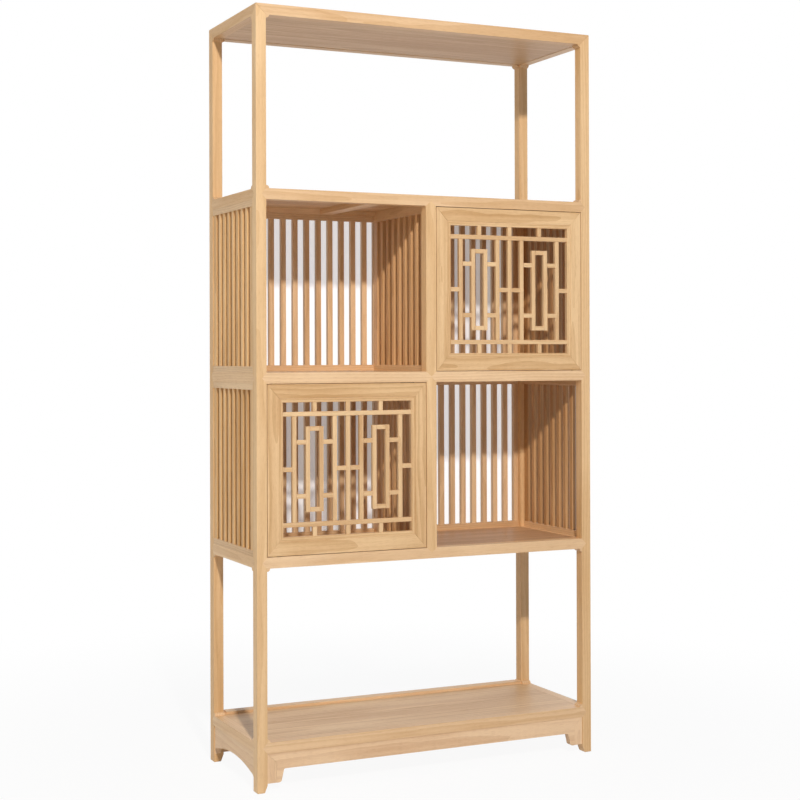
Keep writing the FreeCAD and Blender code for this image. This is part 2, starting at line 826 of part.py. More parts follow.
def door_border(name, x0, x1, z0, z1):
    """Thin mitred strips set inside the frame, a little behind its face."""
    gap = size.joint_fit
    u0 = x0 + size.border
    u1 = x1 - size.border
    v0 = z0 + size.border
    v1 = z1 - size.border
    left = [(x0, z0 + gap * 2), (u0, v0 + gap * 2), (u0, v1 - gap * 2), (x0, z1 - gap * 2)]
    right = [(x1, z0 + gap * 2), (x1, z1 - gap * 2), (u1, v1 - gap * 2), (u1, v0 + gap * 2)]
    top = [(x0, z1), (u0, v1), (u1, v1), (x1, z1)]
    bottom = [(x0, z0), (x1, z0), (u1, v0), (u0, v0)]
    piece = Piece(f"{name}_lattice_border")
    piece.add("XZ", door_front + size.border_setback, size.border_depth, left, right, top, bottom)
    return u0, u1, v0, v1


def door_lattice(name, x0, x1, z0, z1):
    """Bars of the lattice, symmetrical about the middle of the door."""
    centre = (x0 + x1) / 2
    middle = (z0 + z1) / 2
    half = (x1 - x0) / 2
    rise = (z1 - z0) / 2
    b = size.lattice_bar / 2
    pitch = (half + b) / 5
    row = rise - size.row_gap - b
    inset = row - pitch
    inner_column = pitch
    box_column = pitch * 2.5
    outer_column = pitch * 4
    connector = inset * connector_share

    def across(u0, u1, v):
        return bar_loop(centre + u0, middle + v - b, centre + u1, middle + v + b)

    def upright(u, v0, v1):
        return bar_loop(centre + u - b, middle + v0, centre + u + b, middle + v1)

    long_bars = []
    short_bars = []
    boxes = []
    links = []
    for up in (1, -1):
        long_bars.append(across(-half, half, row * up))
        low, high = (row + b, rise) if up > 0 else (-rise, -row - b)
        for column in (-box_column, as_size(0), box_column):
            short_bars.append(upright(column, low, high))
    uprights = [upright(as_size(0), -row + b, row - b)]
    for side in (1, -1):
        for column in (inner_column, outer_column):
            uprights.append(upright(column * side, -row + b, row - b))
        left_box = box_column * side - pitch / 2
        right_box = box_column * side + pitch / 2
        for column in (left_box, right_box):
            boxes.append(upright(column, -inset - b, inset + b))
        for up in (1, -1):
            boxes.append(across(left_box + b, right_box - b, inset * up))
            near = (inner_column + b, box_column - pitch / 2 - b)
            far = (box_column + pitch / 2 + b, outer_column - b)
            for u0, u1 in (near, far) if side > 0 else ((-near[1], -near[0]), (-far[1], -far[0])):
                links.append(across(u0, u1, connector * up))
        for inner_edge, outer_edge in ((b, inner_column - b), (outer_column + b, half)):
            ends = (inner_edge, outer_edge) if side > 0 else (-outer_edge, -inner_edge)
            links.append(across(ends[0], ends[1], as_size(0)))
    piece = Piece(f"{name}_lattice")
    for loops in (long_bars, short_bars, uprights, boxes, links):
        piece.add("XZ", door_front + size.bar_setback, size.bar_depth, *loops)


def door_pivots(name, members, x, z0, z1):
    """Two pins let into the mitred corners of the door, where its rails cover the hinge stile."""
    bore = circle(x, pin_y, size.pin_radius + size.pin_fit)
    bore_depth = size.pin_embedded + size.pin_fit
    members["bottom_rail"].cut("XY", z0, bore_depth, bore)
    members["top_rail"].cut("XY", z1 - bore_depth, bore_depth, bore)
    pins = Piece(f"{name}_pivot_pins")
    length = size.pin_embedded + pin_reach
    pins.add("XY", z0 - pin_reach, length, circle(x, pin_y, size.pin_radius))
    pins.add("XY", z1 - size.pin_embedded, length, circle(x, pin_y, size.pin_radius))


def add_bush(bushes, rail, x, edge, upward):
    """Square bush let into a rail, below the door for upward -1 and above it for upward 1."""
    half = size.bush_width / 2
    slot = half + size.pin_fit
    low = edge if upward > 0 else edge - size.bush_length
    rail.cut("XY", low, size.bush_length, rectangle(x - slot, pin_y - slot, x + slot, pin_y + slot))
    low = edge - size.bush_rise if upward > 0 else edge - size.bush_length
    block = rectangle(x - half, pin_y - half, x + half, pin_y + half)
    bore = circle(x, pin_y, size.pin_radius + size.pin_fit)
    bushes.add("XY", low, size.bush_length + size.bush_rise, block, bore)


bushes = Piece("pivot_bushes")
catches = Piece("door_catches")
for name, hinge_side, level in (("upper_door", "right", MIDDLE), ("lower_door", "left", FLOOR)):
    hinge = 1 if hinge_side == "right" else -1
    edges = (half_centre, inner_width) if hinge > 0 else (-inner_width, -half_centre)
    x0 = edges[0] + size.door_gap
    x1 = edges[1] - size.door_gap
    z0 = level_top(level) + size.door_gap
    z1 = level_bottom(level + 1) - size.door_gap
    members = door_frame(name, hinge, x0, x1, z0, z1)
    sides = (x0 + size.door_stile, x1 - size.door_stile, z0 + size.door_rail, z1 - size.door_rail)
    opening = door_border(name, *sides)
    door_lattice(name, *opening)
    pin_x = x1 - size.pivot_inset if hinge > 0 else x0 + size.pivot_inset
    door_pivots(name, members, pin_x, z0, z1)
    add_bush(bushes, front_rails[level], pin_x, level_top(level), -1)
    add_bush(bushes, front_rails[level + 1], pin_x, level_bottom(level + 1), 1)

    # A magnetic catch behind the front rail, at the free end of the door, and its strike plate.
    catch_x = x0 + size.catch_inset if hinge > 0 else x1 - size.catch_inset - size.catch_width
    door_back = door_front + size.door_thickness
    strike_back = door_back + size.strike_thickness
    strike_top = z1 - size.strike_drop
    strike = Piece(f"{name}_strike_plate")
    plate = rectangle(catch_x, strike_top - size.strike_height, catch_x + size.catch_width, strike_top)
    strike.add("XZ", door_back, size.strike_thickness, plate)
    rail_bottom = level_bottom(level + 1)
    catch_front = strike_back + size.catch_gap
    catch_back = -inner_depth + size.catch_overhang
    catch_top = level_top(level + 1) - size.board
    profile = [
        (catch_front, rail_bottom - size.catch_drop),
        (catch_back, rail_bottom - size.catch_drop),
        (catch_back, catch_top),
        (-inner_depth, catch_top),
        (-inner_depth, rail_bottom),
        (catch_front, rail_bottom),
    ]
    catches.add("YZ", catch_x, size.catch_width, profile)

doc.recompute()

failed = []
for item in doc.Objects:
    if "Invalid" in item.State or "Error" in item.State:
        failed.append(item.Label)
for body in pieces:
    if body.Shape.isNull() or not body.Shape.isValid():
        failed.append(body.Label)
if failed:
    raise RuntimeError("these did not build: " + ", ".join(failed))

os.makedirs("parts", exist_ok=True)
for body in pieces:
    body.Shape.exportStep(os.path.join("parts", body.Label + ".step"))
print(len(pieces), "pieces,", sum(len(body.Shape.Solids) for body in pieces), "solids")
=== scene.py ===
import math
import random
import bmesh
import bpy
from mathutils import Matrix, Vector


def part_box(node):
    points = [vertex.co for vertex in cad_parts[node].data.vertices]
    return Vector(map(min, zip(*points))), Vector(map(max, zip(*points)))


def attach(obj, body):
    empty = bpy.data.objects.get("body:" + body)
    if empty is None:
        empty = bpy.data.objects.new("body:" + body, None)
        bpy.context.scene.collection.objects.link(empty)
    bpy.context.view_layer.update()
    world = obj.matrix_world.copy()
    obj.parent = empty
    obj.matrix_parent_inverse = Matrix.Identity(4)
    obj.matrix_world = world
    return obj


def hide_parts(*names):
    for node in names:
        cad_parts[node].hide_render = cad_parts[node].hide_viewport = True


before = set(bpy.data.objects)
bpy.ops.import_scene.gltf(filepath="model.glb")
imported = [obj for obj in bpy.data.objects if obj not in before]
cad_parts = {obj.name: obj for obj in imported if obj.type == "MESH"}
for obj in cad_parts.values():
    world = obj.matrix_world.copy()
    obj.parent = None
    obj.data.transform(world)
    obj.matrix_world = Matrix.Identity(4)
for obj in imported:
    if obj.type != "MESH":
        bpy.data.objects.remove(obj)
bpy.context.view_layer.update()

# Corner posts. Four square posts of blond elm run from the floor to the top, where a three-way
# mitre joins them to the top frame. Their long edges are planed off a little by hand and the
# wood is oiled to a low sheen, so the grain shows as fine lines along each post.
EASED_EDGE = 0.0008
LONG_EDGE = 0.03
WELD = 0.000002
FLAT_CORNER = math.radians(1)
SHARP_CORNER = math.radians(35)
# The rear left post is darker all along, painted shade for a post that stands in shade at the back; the
# other posts differ a little in tone.
POST_TONES = {
    "front_left_post": 0.0,
    "front_right_post": 0.15,
    "rear_left_post": 0.3,
    "rear_right_post": 0.2,
}


class Wire:
    """A socket of a material's node tree. Sums on it add Math nodes."""

    def __init__(self, tree, socket=None):
        self.tree = tree
        self.socket = socket

    def node(self, kind, settings=(), output=0, **inputs):
        """Adds any node: its settings first, then the values or wires of its sockets."""
        made = self.tree.nodes.new("ShaderNode" + kind)
        for name, value in dict(settings).items():
            setattr(made, name, value)
        for name, value in inputs.items():
            place = name.replace("_", " ")
            place = int(place[2:]) if place.startswith("in") else place
            self.join(value, made.inputs[place])
        return Wire(self.tree, made.outputs[output])

    def join(self, value, place):
        if isinstance(value, Wire):
            self.tree.links.new(value.socket, place)
        else:
            place.default_value = value

    def math(self, operation, first, second=0.0):
        return self.node("Math", {"operation": operation}, in0=first, in1=second)

    def __add__(self, other):
        return self.math("ADD", self, other)

    def __radd__(self, other):
        return self.math("ADD", other, self)

    def __sub__(self, other):
        return self.math("SUBTRACT", self, other)

    def __rsub__(self, other):
        return self.math("SUBTRACT", other, self)

    def __mul__(self, other):
        return self.math("MULTIPLY", self, other)

    def __rmul__(self, other):
        return self.math("MULTIPLY", other, self)

    def __truediv__(self, other):
        return self.math("DIVIDE", self, other)


def tint(red, green, blue):
    """A colour as it looks on a screen, from 0 to 255, turned to the renderer's own scale."""
    parts = []
    for part in (red, green, blue):
        share = part / 255
        parts.append(share / 12.92 if share <= 0.04045 else ((share + 0.055) / 1.055) ** 2.4)
    return (*parts, 1.0)


def new_material(name):
    """An empty principled material, its shader and a wire to build on."""
    material = bpy.data.materials.new(name)
    material.use_nodes = True
    shader = material.node_tree.nodes["Principled BSDF"]
    return material, shader, Wire(material.node_tree)


# How often the wood's marks change in a metre, first along the grain and then across it
FIGURE_BENDS = (2.2, 9.0, 9.0)
SLOW_DRIFTS = (2.6, 12.0, 12.0)
STREAKS = (1.6, 110.0, 110.0)
PORES = (50.0, 1500.0, 1500.0)
ACROSS_GRAIN = (0.0, 1.0, 1.0)

# Where in a ring its late wood darkens, and how low the noise falls in a pore
LATE_WOOD = (0.25, 0.9)
OPEN_PORE = (0.36, 0.44)

# How much each mark counts in the colour, from pale to dark wood
PLAIN_SHARE = 0.3
LATE_SHARE = 0.3
STREAK_SHARE = 0.8
DRIFT_SHARE = 1.2
PORE_SHARE = 0.16
SEAM_SHARE = 0.5
PLANK_SHARE = 0.45
PORE_COLOUR = (176, 128, 84)

# How far rings wander, where the pith lies from a piece's middle, and how planks are cut
RING_WANDER = 0.026
LOG_RUN = 40
PITH_TILT = 0.4
PITH_DEPTHS = (0.025, 0.065)
PLANK_RUN = 9.0
PLANK_PITH = 0.015
SEAM = 0.0003

# Sheen of the oil, and the slight relief of planed wood
OILED_ROUGHNESS = 0.42
DARK_ROUGHNESS = 0.10
PORE_ROUGHNESS = 0.12
STREAK_RISE = 0.25
PORE_FALL = 0.6
LATE_FALL = 0.15
GRAIN_RELIEF = 0.12
GRAIN_DEPTH = 0.0004
OIL_COAT = 0.08
OIL_COAT_ROUGHNESS = 0.3


def elm(name, pale, dark, ring=0.008, contrast=1.0, plank=0.0):
    """Oiled elm: growth rings round a pith, slow drifts of tone, and fine open pores.

    A board glued up of planks gives their width, and each plank gets its own figure.
    """
    material, shader, wire = new_material(name)
    timber = wire.node("Attribute", {"attribute_name": "timber"}, output="Vector")
    shade = wire.node("Attribute", {"attribute_name": "shade"}, output="Fac")
    seam = 0.0
    if plank:
        place = wire.node("TexCoord", output="Object")
        row = wire.node("SeparateXYZ", output="Y", Vector=place) / plank + 0.5
        number = wire.math("FLOOR", row)
        chance = wire.node("TexWhiteNoise", {"noise_dimensions": "1D"}, output="Value", W=number)
        shift = wire.node("CombineXYZ", X=chance * PLANK_RUN, Y=number * -plank, Z=chance * PLANK_PITH)
        timber = wire.node("VectorMath", {"operation": "ADD"}, in0=timber, in1=shift)
        shade = shade + (chance - 0.5) * PLANK_SHARE
        middle = wire.math("ABSOLUTE", wire.math("FRACT", row) - 0.5)
        seam = wire.math("GREATER_THAN", middle, 0.5 - SEAM / plank)

    def marks(often, detail, roughness):
        """Noise that changes so often in a metre, along and across the grain."""
        place = wire.node("VectorMath", {"operation": "MULTIPLY"}, in0=timber, in1=often)
        return wire.node("TexNoise", Vector=place, Scale=1.0, Detail=detail, Roughness=roughness)

    across = wire.node("VectorMath", {"operation": "MULTIPLY"}, in0=timber, in1=ACROSS_GRAIN)
    radius = wire.node("VectorMath", {"operation": "LENGTH"}, output="Value", in0=across)
    rings = wire.math("FRACT", (radius + marks(FIGURE_BENDS, 3.0, 0.5) * RING_WANDER) / ring)
    late = wire.node("MapRange", {"interpolation_type": "SMOOTHSTEP"}, Value=rings,
                     From_Min=LATE_WOOD[0], From_Max=LATE_WOOD[1], To_Min=0.0, To_Max=1.0)
    streak = marks(STREAKS, 3.0, 0.55)
    pore = wire.node("MapRange", {}, Value=marks(PORES, 1.0, 0.5),
                     From_Min=OPEN_PORE[0], From_Max=OPEN_PORE[1], To_Min=1.0, To_Max=0.0)
    drift = marks(SLOW_DRIFTS, 2.0, 0.5)

    grain = (late * (LATE_SHARE * contrast) + (streak - 0.5) * (STREAK_SHARE * contrast)
             + (drift - 0.5) * DRIFT_SHARE + shade + PLAIN_SHARE)
    wood = wire.node("Mix", {"data_type": "RGBA", "clamp_factor": True}, output=2,
                     Factor=grain, A=pale, B=dark)
    darkened = pore * (PORE_SHARE * contrast) + seam * SEAM_SHARE
    pored = wire.node("Mix", {"data_type": "RGBA", "blend_type": "MULTIPLY"}, output=2,
                      Factor=darkened, A=wood, B=tint(*PORE_COLOUR))
    wire.join(pored, shader.inputs["Base Color"])
    dullness = OILED_ROUGHNESS + grain * DARK_ROUGHNESS + pore * PORE_ROUGHNESS
    wire.join(dullness, shader.inputs["Roughness"])
    height = streak * STREAK_RISE - pore * PORE_FALL - late * LATE_FALL
    relief = wire.node("Bump", Strength=GRAIN_RELIEF, Distance=GRAIN_DEPTH, Height=height)
    wire.join(relief, shader.inputs["Normal"])
    shader.inputs["Coat Weight"].default_value = OIL_COAT
    shader.inputs["Coat Roughness"].default_value = OIL_COAT_ROUGHNESS
    return material


def islands(work):
    """The separate solids of a mesh, as lists of their corners."""
    left = set(work.verts)
    while left:
        seed = left.pop()
        found = [seed]
        waiting = [seed]
        while waiting:
            for edge in waiting.pop().link_edges:
                for corner in edge.verts:
                    if corner in left:
                        left.remove(corner)
                        found.append(corner)
                        waiting.append(corner)
        yield sorted(found, key=lambda corner: corner.index)


def season(work, name, tone=0.0, spread=0.1):
    """Gives each solid its own place in a log and its own depth of colour.

    The grain runs along its longest side, and the pith lies behind its widest faces.
    """
    work.verts.index_update()
    chance = random.Random(name)
    timber = work.verts.layers.float_vector.new("timber")
    shade = work.verts.layers.float.new("shade")
    solids = sorted(islands(work), key=lambda corners: corners[0].index)
    for corners in solids:
        spans = []
        for axis in range(3):
            places = [corner.co[axis] for corner in corners]
            spans.append((max(places) - min(places), (max(places) + min(places)) / 2))
        along = max(range(3), key=lambda axis: spans[axis][0])
        first, second = [axis for axis in range(3) if axis != along]
        run = chance.uniform(0, LOG_RUN)
        wide_face = 0 if spans[first][0] < spans[second][0] else math.pi / 2
        angle = chance.uniform(-PITH_TILT, PITH_TILT) + wide_face + chance.choice((0, math.pi))
        pith = chance.uniform(*PITH_DEPTHS)
        depth = tone + chance.uniform(-spread, spread)
        for corner in corners:
            corner[shade] = depth
            corner[timber] = (
                corner.co[along] + run,
                corner.co[first] - spans[first][1] + pith * math.cos(angle),
                corner.co[second] - spans[second][1] + pith * math.sin(angle),
            )


def keep(work, name, body, slot, material, *nodes):
    """Turns finished mesh work into a piece that rides on a body and stands for its CAD nodes."""
    mesh = bpy.data.meshes.new(name)
    work.to_mesh(mesh)
    work.free()
    piece = bpy.data.objects.new(name, mesh)
    bpy.context.scene.collection.objects.link(piece)
    mesh.materials.append(material)
    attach(piece, body)
    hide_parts(*nodes)
    return piece


def eased(node, body, slot, material, shortest=LONG_EDGE, ease=EASED_EDGE, tone=0.0):
    """The CAD piece itself, with its long corners planed off a little."""
    work = bmesh.new()
    work.from_mesh(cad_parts[node].data)
    bmesh.ops.remove_doubles(work, verts=work.verts, dist=WELD)
    bmesh.ops.dissolve_limit(work, angle_limit=FLAT_CORNER, verts=work.verts, edges=work.edges)
    corners = []
    for edge in work.edges:
        if edge.is_manifold and edge.is_convex and edge.calc_length() > shortest:
            if edge.calc_face_angle() > SHARP_CORNER:
                corners.append(edge)
    bmesh.ops.bevel(work, geom=corners, offset=ease, segments=2, profile=0.5,
                    affect="EDGES", clamp_overlap=True)
    for face in work.faces:
        face.smooth = True
    for edge in work.edges:
        edge.smooth = edge.is_manifold and edge.calc_face_angle() < SHARP_CORNER
    season(work, node, tone)
    piece = keep(work, node + "_eased", body, slot, material, node)
    flat = piece.modifiers.new("flat faces", "WEIGHTED_NORMAL")
    flat.keep_sharp = True
    return piece


post_wood = elm("post elm", tint(247, 211, 161), tint(221, 178, 124))
for node, tone in POST_TONES.items():
    eased(node, "cabinet", "frame_wood", post_wood, tone=tone)


# Rails. Five frames of four rails tie the posts together, tenoned and glued into them with
# pointed mitres on the faces that show. The top frame is mitred at its corners.
LEVELS = ("bottom_shelf", "cabinet_floor", "middle_shelf", "cabinet_top", "top")
RAIL_TONES = {"top": 0.25, "cabinet_top": 0.15}
rail_wood = elm("rail elm", tint(247, 212, 168), tint(219, 177, 127), ring=0.007)
for level in LEVELS:
    for side in ("front", "rear", "left", "right"):
        eased(f"{level}_{side}_rail", "cabinet", "frame_wood", rail_wood, tone=RAIL_TONES.get(level, 0))


# Boards. Wide glued-up elm boards float in grooves of the rails, with fuller figure than the
# rails. Two battens cross under each of the four lower ones and key into them.
PLANK = 0.105
BOARD_EASE = 0.0004
BOARD_TONES = {"cabinet_floor": 0.1, "middle_shelf": 0.3, "cabinet_top": 0.2, "top": 0.4}
board_wood = elm("board elm", tint(240, 205, 158), tint(206, 164, 118), ring=0.009, contrast=1.2,
                 plank=PLANK)
# The cabinet floor, the floor of the lower cells, gets a darker copy of the board elm: painted shade
# for the cells' shadow on it.
painted_shade_board_wood = elm("dark board elm", tint(208, 165, 121), tint(170, 126, 87), ring=0.009, contrast=1.2,
                plank=PLANK)
for level in LEVELS:
    wood = painted_shade_board_wood if level == "cabinet_floor" else board_wood
    tone = BOARD_TONES.get(level, 0)
    eased(level + "_board", "cabinet", "board_wood", wood, ease=BOARD_EASE, tone=tone)
eased("shelf_battens", "cabinet", "frame_wood", rail_wood)


# Aprons. Straight aprons hang under the long rails and are mitred to a bracket beside each
# post; the side aprons sweep down to the posts. All are glued up under the bottom shelf.
APRON_EDGE = 0.004
APRON_TONE = -0.2
apron_wood = elm("apron elm", tint(247, 213, 172), tint(216, 174, 132), ring=0.009, contrast=1.2)
for node in ("long_aprons", "side_aprons", "apron_brackets"):
    eased(node, "cabinet", "frame_wood", apron_wood, shortest=APRON_EDGE, tone=APRON_TONE)


# Grille sticks. Slim upright sticks with rounded arrises stand in housings of thin rails, all
# along the back, at both sides and in the divider between the cells.
STICK_WIDTH = 0.015
STICK_DEPTH = 0.013
END_STICK_WIDTH = 0.022
STICK_HOUSING = 0.005
STICK_ROUNDING = 0.0012
GRILLE_RAIL = 0.016
BACK_RUN_COUNT = 27
SIDE_STICK_COUNT = 7
STICK_SPREAD = 0.22
BACK_TONE = -0.1
GRILLE_RAIL_EDGE = 0.1
THIN_EASE = 0.0005


class Grower:
    """A Geometry Nodes tree that sets one shape on each point of a straight row."""

    def __init__(self, name, *sizes):
        self.tree = bpy.data.node_groups.new(name, "GeometryNodeTree")
        face = self.tree.interface
        face.new_socket("Geometry", in_out="OUTPUT", socket_type="NodeSocketGeometry")
        for size in sizes:
            face.new_socket(size, in_out="INPUT", socket_type="NodeSocketFloat")
        face.new_socket("Count", in_out="INPUT", socket_type="NodeSocketInt")
        for place in ("First", "Step", "Turn"):
            face.new_socket(place, in_out="INPUT", socket_type="NodeSocketVector")
        face.new_socket("Finish", in_out="INPUT", socket_type="NodeSocketMaterial")
        self.given = self.tree.nodes.new("NodeGroupInput").outputs

    def node(self, kind, settings=(), **inputs):
        """Adds a node and returns its first output."""
        made = self.tree.nodes.new(kind)
        for name, value in dict(settings).items():
            setattr(made, name, value)
        for name, value in inputs.items():
            place = name.replace("_", " ")
            place = made.inputs[int(place[2:])] if place.startswith("in") else made.inputs[place]
            if isinstance(value, bpy.types.NodeSocket):
                self.tree.links.new(value, place)
            else:
                place.default_value = value
        return made.outputs[0]

    def repeat(self, shape):
        """Sets the shape on the row, makes it real, gives it its material and ends the tree."""
        given = self.given
        row = self.node("GeometryNodeMeshLine", Count=given["Count"], Start_Location=given["First"],
                        Offset=given["Step"])
        placed = self.node("GeometryNodeInstanceOnPoints", Points=row, Instance=shape,
                           Rotation=given["Turn"])
        solid = self.node("GeometryNodeRealizeInstances", Geometry=placed)
        painted = self.node("GeometryNodeSetMaterial", Geometry=solid, Material=given["Finish"])
        end = self.tree.nodes.new("NodeGroupOutput")
        self.tree.links.new(painted, end.inputs[0])
        return self.tree


def stick_tree():
    """Straight sticks with rounded arrises."""
    sticks = Grower("stick row", "Length", "Width", "Depth", "Rounding")
    given = sticks.given
    tip = sticks.node("ShaderNodeCombineXYZ", Z=given["Length"])
    line = sticks.node("GeometryNodeCurvePrimitiveLine", End=tip)
    section = sticks.node("GeometryNodeCurvePrimitiveQuadrilateral", Width=given["Width"],
                          Height=given["Depth"])
    rounded = sticks.node("GeometryNodeFilletCurve", {"mode": "POLY"}, Curve=section, Count=2,
                          Radius=given["Rounding"], Limit_Radius=True)
    stick = sticks.node("GeometryNodeCurveToMesh", Curve=line, Profile_Curve=rounded, Fill_Caps=True)
    return sticks.repeat(stick)


STICK_ROW = stick_tree()


def add_row(work, tree, finish, **sizes):
    """Evaluates one row and adds it to the mesh work as plain faces."""
    holder = bpy.data.objects.new("row", bpy.data.meshes.new("row"))
    bpy.context.scene.collection.objects.link(holder)
    row = holder.modifiers.new("row", "NODES")
    row.node_group = tree
    sizes["Finish"] = finish
    for socket in tree.interface.items_tree:
        if socket.in_out == "INPUT" and socket.name in sizes:
            row[socket.identifier] = sizes[socket.name]
    shape = bpy.data.meshes.new_from_object(holder.evaluated_get(bpy.context.evaluated_depsgraph_get()))
    work.from_mesh(shape)
    bpy.data.objects.remove(holder)
    bpy.data.meshes.remove(shape)


def finish_sticks(work, name, tone=0.0):
    for face in work.faces:
        face.smooth = False
    season(work, name, tone, STICK_SPREAD)


stick_wood = elm("stick elm", tint(240, 205, 160), tint(202, 161, 115), ring=0.006)
side_wood = elm("side stick elm", tint(241, 197, 137), tint(199, 151, 91), ring=0.006)
# The right side and the divider face into the cells and get a darker copy of the stick elm as painted
# shade.
painted_shade_stick_wood = elm("painted shade stick elm", tint(236, 190, 134), tint(186, 139, 88), ring=0.006)
floors = []
for floor, ceiling in (("cabinet_floor", "middle_shelf"), ("middle_shelf", "cabinet_top")):
    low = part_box(floor + "_board")[1].z + GRILLE_RAIL - STICK_HOUSING
    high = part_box(ceiling + "_rear_rail")[0].z - GRILLE_RAIL + STICK_HOUSING
    floors.append((low, high - low))


def stick_box(node):
    """The two corners of the box round a node's sticks, and its middle."""
    low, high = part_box(node)
    return low, high, (low + high) / 2


low, high, middle = stick_box("back_sticks")
step = (high.x - low.x - STICK_WIDTH) / (BACK_RUN_COUNT - 1)
work = bmesh.new()
for base, length in floors:
    add_row(work, STICK_ROW, stick_wood, Length=length, Width=STICK_WIDTH, Depth=STICK_DEPTH,
            Rounding=STICK_ROUNDING, Count=BACK_RUN_COUNT,
            First=(low.x + STICK_WIDTH / 2, middle.y, base), Step=(step, 0, 0))
finish_sticks(work, "back_sticks", BACK_TONE)
keep(work, "back_grille_sticks", "cabinet", "grille_wood", stick_wood, "back_sticks")

# The right side sticks get a deeper tone still, painted shade for the dim cell behind the upper door.
for node, wood, tone in (("left_side_sticks", side_wood, 0.0), ("right_side_sticks", painted_shade_stick_wood, 0.5),
                         ("divider_sticks", painted_shade_stick_wood, 0.1)):
    low, high, middle = stick_box(node)
    clear = high.y - low.y - END_STICK_WIDTH * 2 - STICK_WIDTH * SIDE_STICK_COUNT
    gap = clear / (SIDE_STICK_COUNT + 1)
    work = bmesh.new()
    for base, length in floors:
        add_row(work, STICK_ROW, wood, Length=length, Width=STICK_DEPTH, Depth=STICK_WIDTH,
                Rounding=STICK_ROUNDING, Count=SIDE_STICK_COUNT,
                First=(middle.x, low.y + END_STICK_WIDTH + gap + STICK_WIDTH / 2, base),
                Step=(0, gap + STICK_WIDTH, 0))
        add_row(work, STICK_ROW, wood, Length=length, Width=STICK_DEPTH, Depth=END_STICK_WIDTH,
                Rounding=STICK_ROUNDING, Count=2,
                First=(middle.x, low.y + END_STICK_WIDTH / 2, base),
                Step=(0, high.y - low.y - END_STICK_WIDTH, 0))
    finish_sticks(work, node, tone)
    keep(work, node + "_rounded", "cabinet", "grille_wood", wood, node)

for node in ("back_grille_rails", "side_grille_rails", "divider_grille_rails"):
    eased(node, "cabinet", "grille_wood", stick_wood, shortest=GRILLE_RAIL_EDGE, ease=THIN_EASE)


# Centre posts. Two short posts stand one above the other between the front rails, with pointed
# ends let into the rail faces, and carry the front edge of the divider.
for node in ("lower_centre_post", "upper_centre_post"):
    eased(node, "cabinet", "frame_wood", post_wood)


# Doors. Each door is a mitred and tenoned frame of four members round a thin mitred border.
# It is lighter and straighter in grain than the carcass.
door_wood = elm("door elm", tint(243, 207, 157), tint(205, 160, 106), ring=0.007, contrast=1.3)
DOOR_TONES = {"upper_door_hinge_stile": -0.4, "upper_door_bottom_rail": 0.15}
for door in ("upper_door", "lower_door"):
    for member in ("hinge_stile", "latch_stile", "top_rail", "bottom_rail"):
        node = f"{door}_{member}"
        eased(node, door, "door_wood", door_wood, tone=DOOR_TONES.get(node, 0))
    eased(f"{door}_lattice_border", door, "door_wood", door_wood, ease=THIN_EASE)


# Lattice. Straight bars of one section, halved and butted together, make two tall boxes tied
# to long uprights by short links, the same pattern on both doors.
BAR = 0.012
BAR_DEPTH = 0.010
BAR_ROUNDING = 0.0009
ROW_GAP = 0.024
JOINT = 0.0001
LINK_SHARE = 2 / 3
LYING = (0, math.radians(90), 0)

lattice_wood = elm("lattice elm", tint(244, 209, 160), tint(212, 168, 117), ring=0.006)


def lattice(door):
    low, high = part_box(door + "_lattice")
    middle = (low + high) / 2
    half = (high.x - low.x) / 2 + JOINT
    rise = (high.z - low.z) / 2 + JOINT
    edge = BAR / 2
    pitch = (half + edge) / 5
    row = rise - ROW_GAP - edge
    inset = row - pitch
    box_column = pitch * 2.5
    near_box = box_column - pitch / 2
    far_box = box_column + pitch / 2
    outer_column = pitch * 4
    link_row = inset * LINK_SHARE
    work = bmesh.new()

    def uprights(first, bottom, top, count=1, step=0.0):
        add_row(work, STICK_ROW, lattice_wood, Length=top - bottom - JOINT * 2, Width=BAR - JOINT * 2,
                Depth=BAR_DEPTH, Rounding=BAR_ROUNDING, Count=count,
                First=(middle.x + first, middle.y, middle.z + bottom + JOINT), Step=(step, 0, 0))

    def across(start, end, height, count=1, step=0.0):
        add_row(work, STICK_ROW, lattice_wood, Length=end - start - JOINT * 2, Width=BAR - JOINT * 2,
                Depth=BAR_DEPTH, Rounding=BAR_ROUNDING, Count=count, Turn=LYING,
                First=(middle.x + start + JOINT, middle.y, middle.z + height), Step=(0, 0, step))

    across(-half, half, row, 2, -row * 2)
    uprights(-box_column, row + edge, rise, 3, box_column)
    uprights(-box_column, -rise, -row - edge, 3, box_column)
    uprights(0, edge - row, row - edge)
    uprights(-pitch, edge - row, row - edge, 2, pitch * 2)
    uprights(-outer_column, edge - row, row - edge, 2, outer_column * 2)
    uprights(-near_box, -inset - edge, inset + edge, 2, near_box * 2)
    uprights(-far_box, -inset - edge, inset + edge, 2, far_box * 2)
    across(-far_box + edge, -near_box - edge, inset, 2, -inset * 2)
    across(near_box + edge, far_box - edge, inset, 2, -inset * 2)
    across(-outer_column + edge, -far_box - edge, link_row, 2, -link_row * 2)
    across(-near_box + edge, -pitch - edge, link_row, 2, -link_row * 2)
    across(pitch + edge, near_box - edge, link_row, 2, -link_row * 2)
    across(far_box + edge, outer_column - edge, link_row, 2, -link_row * 2)
    across(-half, -outer_column - edge, 0)
    across(-pitch + edge, -edge, 0)
    across(edge, pitch - edge, 0)
    across(outer_column + edge, half, 0)
    finish_sticks(work, door + " lattice")
    keep(work, door + "_lattice_bars", door, "lattice_wood", lattice_wood, door + "_lattice")


for door in ("upper_door", "lower_door"):
    lattice(door)


# Pivots. Turned brass pins in the door corners sit in square brass bushes in the rails, a
# little tarnished where oil and dust gather.
TARNISH_PATCHES = 220.0
DRAWN_MARKS = (4000.0, 4000.0, 90.0)
PATCH_ROUGHNESS = 0.2
DRAWN_ROUGHNESS = 0.1
METAL_RELIEF = 0.1
METAL_DEPTH = 0.0001


